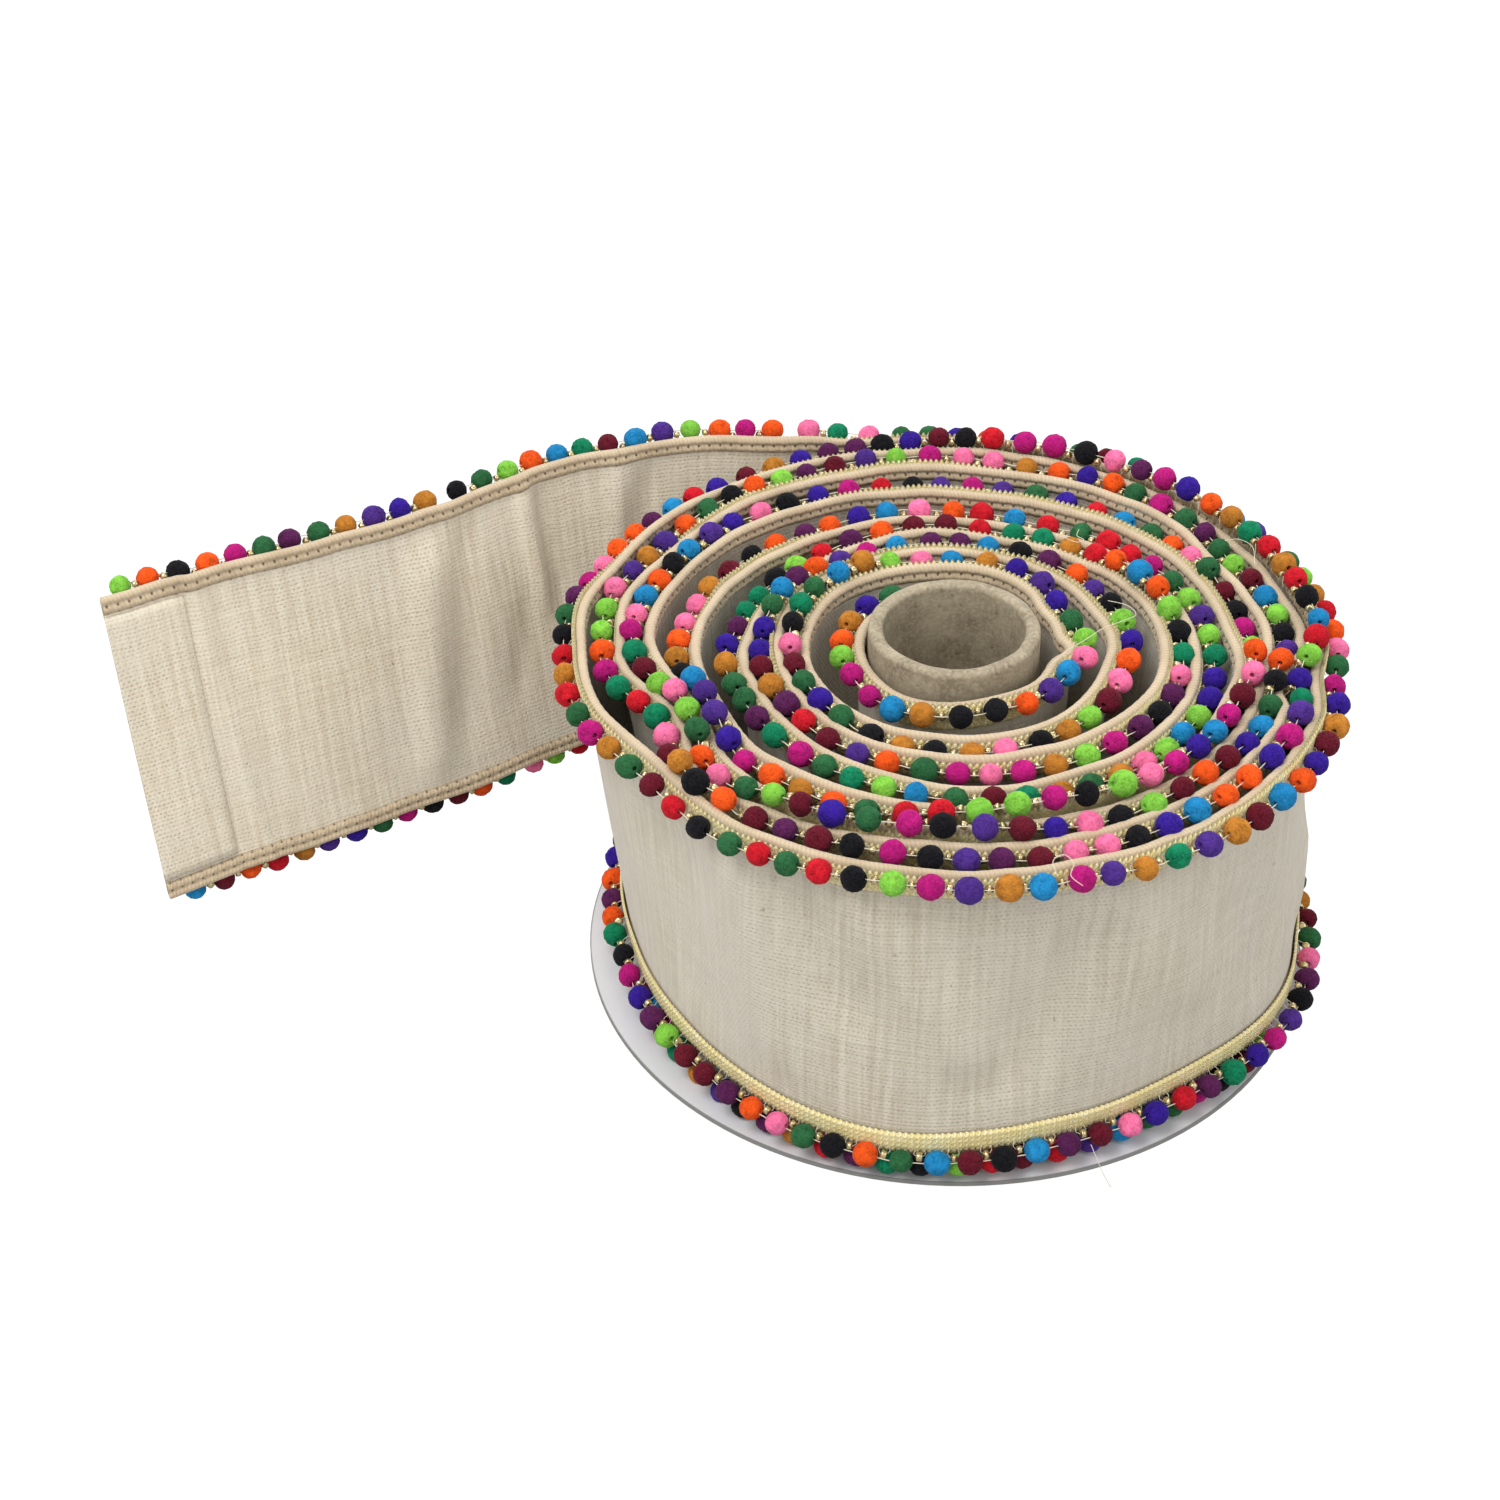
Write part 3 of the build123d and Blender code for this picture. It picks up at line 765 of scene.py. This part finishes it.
MATERIALS = {
    "linen": linen(),
    "rolled_edge": rolled_edge(),
    "gold_braid": gold_braid(),
    "seed": plain("gold_seed", (0.62, 0.50, 0.27), 0.22, 0.85, 2500.0, 0.35),
    "thread": plain("cream_thread", (0.66, 0.60, 0.46), 0.45, 0.0, 3000.0, 0.15),
    "chipboard": chipboard(),
    "white_card": white_card(),
}
POM_MATERIALS = {name: flock(name, colour) for name, colour in POM_COLOURS.items()}


# ---- the ribbon's pieces ----

def lengths(span, step):
    """Even lengths along the ribbon from a span's start to its end."""
    start, end = span
    return np.linspace(start, end, int(math.ceil((end - start) / step)) + 1)


def cloth(name, span, step, rows):
    """The linen strip, a thin closed sheet that runs in under both bindings."""
    rise = np.linspace(CLOTH_MARGIN, WIDTH - CLOTH_MARGIN, rows)
    h = np.concatenate([rise, rise[::-1]])[None]
    o = np.repeat([CLOTH_HALF, -CLOTH_HALF], rows)[None]
    return sweep(name, lengths(span, step), h, o, MATERIALS["linen"], creased=True)


def from_edge(edge, depth):
    """Heights on the ribbon of depths in from its top or lower edge."""
    return WIDTH - depth if edge == "top" else depth


def binding(name, span, edge, step):
    """The rolled edge: a round roll outside, two rows of puffs between needle holes inside."""
    s = lengths(span, step)
    puff = np.abs(np.sin(math.pi * s / STITCH_PITCH))[:, None] ** 0.5
    roll = np.sin(math.pi * np.clip(OUTER_DEPTHS / 2.1, 0, 1)) ** 0.6
    outer = 0.34 + 0.60 * roll * (0.9 + 0.1 * puff)
    row = np.abs(np.sin(math.pi * np.clip(INNER_DEPTHS, 0.05, 3.17) / ROW_PITCH)) ** 0.6
    stitched = np.where(INNER_DEPTHS > 0.9, 0.42, 0.16)
    inner = -0.34 - 0.74 * row * (1 - stitched + stitched * puff)
    thin = 1 + 0.06 * wave(s, 9, 21)[:, None]
    h = from_edge(edge, np.concatenate([OUTER_DEPTHS, INNER_DEPTHS]))
    o = np.concatenate([outer * thin, inner * thin], 1)
    return sweep(name, s, h, o, MATERIALS["rolled_edge"])


def braid(name, span, edge, step):
    """Gold braid on the outer face, with a scalloped edge towards the poms and rounded cords. On
    stretches of the winding's top edge it rises over the binding."""
    s = lengths(span, step)
    scallop = np.abs(np.sin(math.pi * s / SCALLOP_PITCH))[:, None]
    depths = np.broadcast_to(BRAID_DEPTHS, (len(s), len(BRAID_DEPTHS))).copy()
    depths[:, :1] -= 0.9 * scallop
    depths[:, 1:2] -= 0.4 * scallop
    depths[:, -1:] += 0.25 * scallop
    raised = np.zeros((len(s), 1))
    if edge == "top":
        raised[:, 0] = np.clip(1.8 * wave(s, 46, 61), 0, 1) * (1 - np.interp(s, ribbon.s, ribbon.on_tail))
    depths[:, :4] -= raised * np.array([1.25, 1.1, 0.7, 0.3])
    cord = 0.10 * np.abs(np.sin(math.pi * (BRAID_DEPTHS - BRAID_DEPTHS[0]) / BAND_WIDTH))
    face = 1.12 + cord[None] + 0.07 * scallop
    face[:, 0] = 1.06
    face[:, :3] += raised * 0.22
    face[:, -1] = 1.0
    h = from_edge(edge, np.concatenate([depths, depths[:, ::-1]], 1))
    o = np.concatenate([face, np.full_like(face, 0.72)], 1)
    return sweep(name, s, h, o, MATERIALS["gold_braid"])


# ---- poms, seeds and threads ----

def pom_shape(seed):
    """A slightly uneven ball with a hole along X, its pile modelled as small lumps."""
    source = np.random.default_rng(seed)
    hole, lip = 0.36, 0.30
    arc = np.radians(np.linspace(17, 163, 15))
    ball = np.stack([-np.cos(arc), np.sin(arc)], 1) * POM_RADIUS
    reach = POM_RADIUS * 0.93
    front = [(-0.5, 0.02), (-0.55, hole), (-reach + 0.25, hole), (-reach - 0.03, hole + 0.5 * lip)]
    back = [(-x, r) for x, r in reversed(front)]
    verts, faces = turned_shape(front + ball.tolist() + back, 22)
    radius = np.linalg.norm(verts, axis=1)
    on_ball = np.clip((radius - 1.5) / 0.4, 0, 1)
    directions = source.normal(size=(9, 3))
    directions /= np.linalg.norm(directions, axis=1)[:, None]
    unit = verts / np.maximum(radius, 1e-6)[:, None]
    lumps = np.sum(np.clip(unit @ directions.T - 0.72, 0, 1) ** 1.5, 1) * 0.9
    grain = source.normal(size=len(verts)) * 0.018
    verts = verts * (1 + (on_ball * (lumps * 0.18 + grain - 0.01)))[:, None]
    verts *= source.uniform(0.94, 1.06, 3)
    return verts, faces


def seed_shape():
    """A short glass tube bead with rounded rims."""
    out, inn, half = 0.78, 0.32, 0.55
    profile = [(-half, inn), (-half, out - 0.15), (-half + 0.15, out), (half - 0.15, out)]
    profile += [(half, out - 0.15), (half, inn)]
    return turned_shape(profile, 10)


POM_SHAPES = [pom_shape(seed) for seed in range(10)]
SEED_SHAPE = seed_shape()
def trim_line(s, edge):
    """Height and offset of a pom row's thread. The low row hangs below the edge and comes out from
    under the last turn. The top row lies by the edge and rides up over a close outer turn."""
    wander = 0.45 * wave(s, 12, 31) + 0.3 * wave(s, 5, 32)
    on_tail, angle = (np.interp(s, ribbon.s, table) for table in (ribbon.on_tail, ribbon.angle))
    last = np.clip((angle - LAST_TURN) / 30, 0, 1) * (1 - on_tail)
    if edge == "low":
        under = np.clip(bump(angle, *TUCKED) * 4, 0, 1)
        reach = np.interp(s, ribbon.s, ribbon.gap_low) + 1.1
        h = -1.25 + 1.9 * last - 1.35 * under + 0.35 * wander - 0.1 * on_tail
        return h, TRIM_OFFSET + 0.3 * last + under * (reach - TRIM_OFFSET) - on_tail
    gap = np.interp(s, ribbon.s, ribbon.gap_top)
    ride = smoothstep(np.clip((5.9 - gap) / 1.4, 0, 1))
    slow = wave(s, 38, 33) * (1 - on_tail)
    h = WIDTH - 0.7 + 0.6 * on_tail + 3.1 * ride + 0.9 * slow * (1 - ride) + 0.6 * wander - 0.9 * last
    return h, TRIM_OFFSET - 0.9 * ride + 0.1 * wander


def across_joint(before, after):
    """Whether a joint lies between two lengths."""
    return any(before < joint <= after for joint in (SWING, CURL))


def spaced(edge):
    """Lengths of the poms along one edge, at random distances measured at the thread."""
    s = np.arange(POM_INSETS[0], ribbon.length - POM_INSETS[1], 0.1)
    walked = walked_along(ribbon.at(s, *trim_line(s, edge)))
    places, here = [], 0.0
    while here < walked[-1]:
        length = np.interp(here, walked, s)
        if places and across_joint(places[-1], length):
            here += JOINT_ROOM
            length = np.interp(here, walked, s)
        places.append(length)
        on_tail = np.interp(length, ribbon.s, ribbon.on_tail) > 0.5
        here += rng.uniform(*(TAIL_PITCH if on_tail else WINDING_PITCH))
    return np.array(places)


def colours_for(places, edge):
    """Colour names in order: random, but for the stretches whose order is known."""
    names = list(POM_COLOURS)
    chosen = [names[k] for k in rng.integers(0, len(names), len(places))]
    known = TAIL_TOP if edge == "top" else TAIL_LOW
    first = np.searchsorted(places, SWING - 6.0) if edge == "top" else len(places) - len(known)
    for offset, colour in enumerate(known):
        if first + offset < len(places):
            chosen[first + offset] = colour
    if edge == "top":
        front = np.searchsorted(places, FRONT_START)
        for offset, colour in enumerate(FRONT_TOP):
            chosen[front + offset] = colour
    return chosen


def winding_length(angle):
    """Length along the ribbon at which the outer turn passes a direction, in degrees."""
    outer = ribbon.s[(ribbon.s < ribbon.tail_start) & (ribbon.s > ribbon.tail_start - LOOK_BACK)]
    points = ribbon.at(outer, WIDTH, 0.0)
    facing = np.degrees(np.arctan2(points[:, 1], points[:, 0])) % 360
    return outer[np.argmin(np.abs(facing - angle))]


FRONT_START = winding_length(186.0)


def standing(shape, s, h, o, spin, tilt, size):
    """A shape put on the ribbon with its X along it, spun about X and tilted about the outward axis."""
    verts, faces = shape
    _, _, out, up = ribbon.frame_at(np.array([s]), min(max(h / WIDTH, 0), 1))
    x_axis = np.cross(up[0], out[0])
    turn = Matrix.Rotation(tilt, 3, "Y") @ Matrix.Rotation(spin, 3, "X")
    axes = np.stack([x_axis, out[0], up[0]], 1) @ np.array(turn)
    place = ribbon.at(np.array([s]), h, o)[0]
    return verts * size @ axes.T + place, faces


def body_at(s):
    """The body on which what sits at a length rides."""
    if s < SWING:
        return "spool"
    return "tail_inner" if s < CURL else "tail_outer"


def make_trim(edge, poms, seeds):
    """Adds one edge's poms and seeds to those of each body and colour, and makes its threads."""
    places = spaced(edge)
    colours = colours_for(places, edge)
    heights, offsets = trim_line(places, edge)
    for s, h, offset, colour in zip(places, heights, offsets, colours):
        shape = POM_SHAPES[rng.integers(len(POM_SHAPES))]
        o = offset + rng.uniform(*POM_SHIFT)
        spin, tilt = rng.uniform(0, FULL_TURN), rng.uniform(-POM_TILT, POM_TILT)
        size = rng.uniform(*POM_SIZES)
        verts, faces = standing(shape, s, h, o, spin, tilt, size)
        poms.setdefault((body_at(s), colour), []).append((verts, faces, rng.uniform(0, 1)))
    crossings = []
    for a, b in zip(places, places[1:]):
        if across_joint(a, b):
            continue
        middle = (a + b) / 2
        h, offset = (float(value) for value in trim_line(middle, edge))
        inwards = -1 if edge == "top" else 1
        drop = rng.uniform(*SEED_DROP) * inwards
        o = offset - rng.uniform(*SEED_INSET)
        spin, tilt = rng.uniform(0, FULL_TURN), rng.uniform(-SEED_TILT, SEED_TILT)
        verts, faces = standing(SEED_SHAPE, middle, h + drop, o, spin, tilt, rng.uniform(*SEED_SIZES))
        seeds.setdefault(body_at(middle), []).append((verts, faces, rng.uniform(0, 1)))
        edge_h = from_edge(edge, 2.0)
        for side in (-1, 1):
            path_s = np.array([middle + side * 0.5, middle + side * 1.0, middle + side * 0.7])
            path_h = np.array([h + drop, (h + edge_h) / 2, edge_h])
            path = ribbon.at(path_s, path_h, np.array([o, (o + 1.1) / 2, 1.1]))
            crossings.append((body_at(middle), path))
    make_threads(edge, places, crossings)


def make_ribbon():
    """Cloth, bindings and braids of each span, each sheet with what is sewn to it."""
    made = {}
    for span_name, span in SPANS.items():
        fine = span_name != "wound"
        sheet = cloth("ribbon_cloth_" + span_name, span, 0.8 if fine else 1.6, 40 if fine else 24)
        sewn = []
        parts = {span_name: span}
        if span_name == "wound":
            cuts = [span[0], OUTER_TURN * INNER_SHARE, OUTER_TURN, span[1]]
            parts = dict(zip(("inner_turns", "middle_turns", "outer_turn"), zip(cuts, cuts[1:])))
        for edge in ("top", "low"):
            for part, part_span in parts.items():
                hidden = edge == "low" and part in ("inner_turns", "middle_turns")
                binding_step, braid_step = (1.1, 1.05) if hidden else (0.31, 0.21)
                sewn.append(binding(f"rolled_edge_{edge}_{part}", part_span, edge, binding_step))
                sewn.append(braid(f"gold_braid_{edge}_{part}", part_span, edge, braid_step))
        made[span_name] = (sheet, sewn)
    return made


def make_hem():
    """The cloth folded back over the inner face of the tail's end, with a rounded fold."""
    s = lengths((ribbon.length - 0.3 - HEM_LENGTH, ribbon.length + 0.2), 0.5)
    rise = np.linspace(4.0, WIDTH - 4.0, 30)
    h = np.concatenate([rise, rise[::-1]])[None]
    lift = np.clip((s - s[0]) / 1.2, 0, 1)[:, None] ** 0.5
    o = np.repeat(np.concatenate([-0.27 - 0.02 * lift, -0.34 - 0.38 * lift], 1), len(rise), 1)
    return sweep("hem", s, h, o, MATERIALS["linen"])


def make_threads(edge, places, crossings):
    """The cream thread through each row of poms and the stitches that hold it to the ribbon."""
    cuts = {"spool": (0, SWING), "tail_inner": (SWING, CURL), "tail_outer": (CURL, ribbon.length)}
    rows = {body: [] for body in cuts}
    for body, (start, end) in cuts.items():
        mine = places[(places >= start) & (places < end)]
        s = np.linspace(mine[0] - 1.2, mine[-1] + 1.2, int((mine[-1] - mine[0]) / 1.0))
        h, o = trim_line(s, edge)
        line = ribbon.at(s, h + 0.1 * wave(s, 2.0, 41), o + 0.12 * wave(s, 1.7, 42))
        rows[body].append(strand(line, BEAD_THREAD))
    for body, path in crossings:
        rows[body].append(strand(path, STITCH_THREAD, 4))
    for body, strands in rows.items():
        piece = link(f"thread_{edge}_{body}", *merged_strands(strands), MATERIALS["thread"])
        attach(piece, body)


def make_strays():
    """Loose hairs and curls of thread that lie on top of the winding, and one by the low poms."""
    strands = []
    for line in STRAYS:
        knots = np.array(line, float)
        places = np.linspace(0, len(knots) - 1, 12 * len(knots))
        strands.append(strand(hermite(knots, places), STRAY_RADIUS, 5))
    piece = link("stray_threads", *merged_strands(strands), MATERIALS["thread"])
    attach(piece, "spool")


def lathe(name, profile, around, material, wobble, seed):
    """A closed, slightly uneven ring turned about the core's axis from a section of (radius, z)."""
    profile = np.asarray(profile, float)
    turn = np.arange(around) / around * 2 * math.pi
    radius = np.broadcast_to(profile[None, :, 0], (around, len(profile))).copy()
    z = np.broadcast_to(profile[None, :, 1], (around, len(profile))).copy()
    source = np.random.default_rng(seed)
    for count in (2, 3, 5, 9, 17):
        phase, share = source.uniform(0, FULL_TURN), wobble / count**0.5
        radius += share * np.sin(count * turn + phase)[:, None]
        rise = 0.7 * share * np.sin(count * turn + 2 * phase)[:, None]
        z += rise * (profile[None, :, 1] > CORE_TOP / 2)
    x, y = radius * np.cos(turn)[:, None], radius * np.sin(turn)[:, None]
    verts = np.stack([x, y, z], -1).reshape(-1, 3)
    n = len(profile)
    i, j = np.arange(around)[:, None], np.arange(n)[None]
    ahead, across = (i + 1) % around, (j + 1) % n
    quads = np.stack([i * n + j, ahead * n + j, ahead * n + across, i * n + across], -1).reshape(-1, 4)
    return link(name, verts, facing_out(verts, quads), material)


def make_core():
    """The card tube, its top rim worn round."""
    outer, inner = CORE_RADIUS, CORE_BORE_RADIUS
    profile = [(inner, z) for z in np.linspace(DISC_TOP, CORE_TOP - 1.3, 12)]
    middle, half = (outer + inner) / 2, (outer - inner) / 2
    for angle in np.radians(np.linspace(172, 8, 12)):
        profile.append((middle + half * math.cos(angle), CORE_TOP - 1.15 + 1.1 * math.sin(angle) ** 0.7))
    profile += [(outer, z) for z in np.linspace(CORE_TOP - 1.3, DISC_TOP, 12)]
    piece = lathe("card_core", profile, 180, MATERIALS["chipboard"], 0.12, 5)
    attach(piece, "spool")
    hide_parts("core_tube")


def stage_plane(name, z):
    """A wide level square that isn't part of the object."""
    mesh = bpy.data.meshes.new(name)
    corners = [(x * STAGE_SIZE, y * STAGE_SIZE, 0) for x, y in ((-1, -1), (1, -1), (1, 1), (-1, 1))]
    mesh.from_pydata(corners, [], [(0, 1, 2, 3)])
    plane = bpy.data.objects.new(name, mesh)
    plane.location.z = z
    bpy.context.scene.collection.objects.link(plane)
    return plane


def make_stage():
    """A white backdrop that only the camera sees, a grey ground that only light sees, and soft lights."""
    backdrop = stage_plane("backdrop", -0.0002)
    glow = Shader("backdrop_white")
    glow.set(Base_Color=(0.0, 0.0, 0.0), Emission_Color=(1.0, 1.0, 1.0), Emission_Strength=1.0)
    backdrop.data.materials.append(glow.material)
    backdrop.visible_diffuse = backdrop.visible_glossy = backdrop.visible_shadow = False
    ground = stage_plane("ground", -0.0004)
    ground.data.materials.append(plain("ground_grey", (0.45, 0.45, 0.45), 0.9, 0.0, 20.0, 0.0, 0.0))
    ground.visible_camera = False
    world = bpy.data.worlds.new("studio")
    world.use_nodes = True
    background = world.node_tree.nodes["Background"]
    background.inputs[0].default_value = (1, 1, 1, 1)
    background.inputs[1].default_value = 1.0
    bpy.context.scene.world = world
    for name, place, size, power in LIGHTS:
        light = bpy.data.lights.new(name, "AREA")
        light.size, light.energy = size, power
        lamp = bpy.data.objects.new(name, light)
        lamp.location = place
        aim = Vector(LIGHTS_AIM) - Vector(place)
        lamp.rotation_euler = aim.to_track_quat("-Z", "Y").to_euler()
        bpy.context.scene.collection.objects.link(lamp)


def make_camera():
    """The camera, from its place, its yaw about the vertical, its downward pitch and its roll."""
    yaw, pitch, roll = (math.radians(a) for a in CAMERA_TURNS)
    right = Vector((math.cos(yaw), math.sin(yaw), 0))
    level = Vector((-math.sin(yaw), math.cos(yaw), 0))
    forward = math.cos(pitch) * level - math.sin(pitch) * Vector((0, 0, 1))
    up = math.sin(pitch) * level + math.cos(pitch) * Vector((0, 0, 1))
    x_axis = math.cos(roll) * right + math.sin(roll) * up
    y_axis = math.cos(roll) * up - math.sin(roll) * right
    camera = bpy.data.objects.new("camera", bpy.data.cameras.new("camera"))
    camera.data.sensor_width = CAMERA_SENSOR
    camera.data.lens = CAMERA_LENS
    camera.data.clip_start = 0.01
    turn = Matrix((x_axis, y_axis, -forward)).transposed()
    camera.matrix_world = Matrix.Translation(Vector(CAMERA_PLACE) * MM) @ turn.to_4x4()
    bpy.context.scene.collection.objects.link(camera)
    bpy.context.scene.camera = camera


def bend_ends(joint):
    """The two points of the ribbon's middle, in metres, BEND before and after a joint."""
    return ribbon.at(np.array([joint - BEND, joint + BEND]), WIDTH / 2, 0.0) * MM


def move_ribbon(made, hem):
    """The wound span's pieces ride on the spool and the hem on the tail's end; the root's and the end's
    pieces keep their place, their transforms baked into their points.
    """
    swing, curl = bend_ends(SWING), bend_ends(CURL)
    for sheet, sewn in made.values():
        for piece in [sheet] + sewn:
            if piece.name.endswith("root"):
                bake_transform(piece)
            elif piece.name.endswith("_end"):
                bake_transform(piece)
            else:
                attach(piece, "spool")
    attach(hem, "tail_outer")


def declare_ribbon(made):
    """Hides the CAD parts that the ribbon's spans and the hem stand in for."""
    suffixes = {"wound": "_wound", "root": "_tail_inner", "end": "_tail_outer"}
    for span_name, (sheet, sewn) in made.items():
        suffix = suffixes[span_name]
        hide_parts("cloth" + suffix)
        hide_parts("upper_binding" + suffix, "lower_binding" + suffix, "edge_wires" + suffix)
        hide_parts("gold_braids" + suffix)
    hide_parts("hem_tail_outer")


def link_trim(poms, seeds):
    """One piece for the poms of each body and colour, and one for the seeds of each body."""
    stood_for = {"spool": "wound", "tail_inner": "tail_inner", "tail_outer": "tail_outer"}
    for (body, colour), parts in poms.items():
        verts, faces, tones = merged(parts)
        piece = link(f"poms_{colour}_{body}", verts, faces, POM_MATERIALS[colour], tone=tones)
        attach(piece, body)
        node = f"poms_{colour}_{stood_for[body]}"
        if node in frame["nodes"]:
            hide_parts(node)
    for body, parts in seeds.items():
        verts, faces, _ = merged(parts)
        piece = link(f"seed_beads_{body}", verts, faces, MATERIALS["seed"])
        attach(piece, body)
        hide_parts("seed_beads_" + stood_for[body])
    for body, suffix in stood_for.items():
        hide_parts("bead_threads_" + suffix)


def build():
    make_stage()
    make_camera()
    make_core()
    made = make_ribbon()
    hem = make_hem()
    move_ribbon(made, hem)
    declare_ribbon(made)
    poms, seeds = {}, {}
    for edge in ("top", "low"):
        make_trim(edge, poms, seeds)
    make_strays()
    link_trim(poms, seeds)
    disc = frame["nodes"]["base_disc"]
    disc.data.materials.clear()
    disc.data.materials.append(MATERIALS["white_card"])


build()
bpy.context.scene.view_settings.view_transform = "Standard"
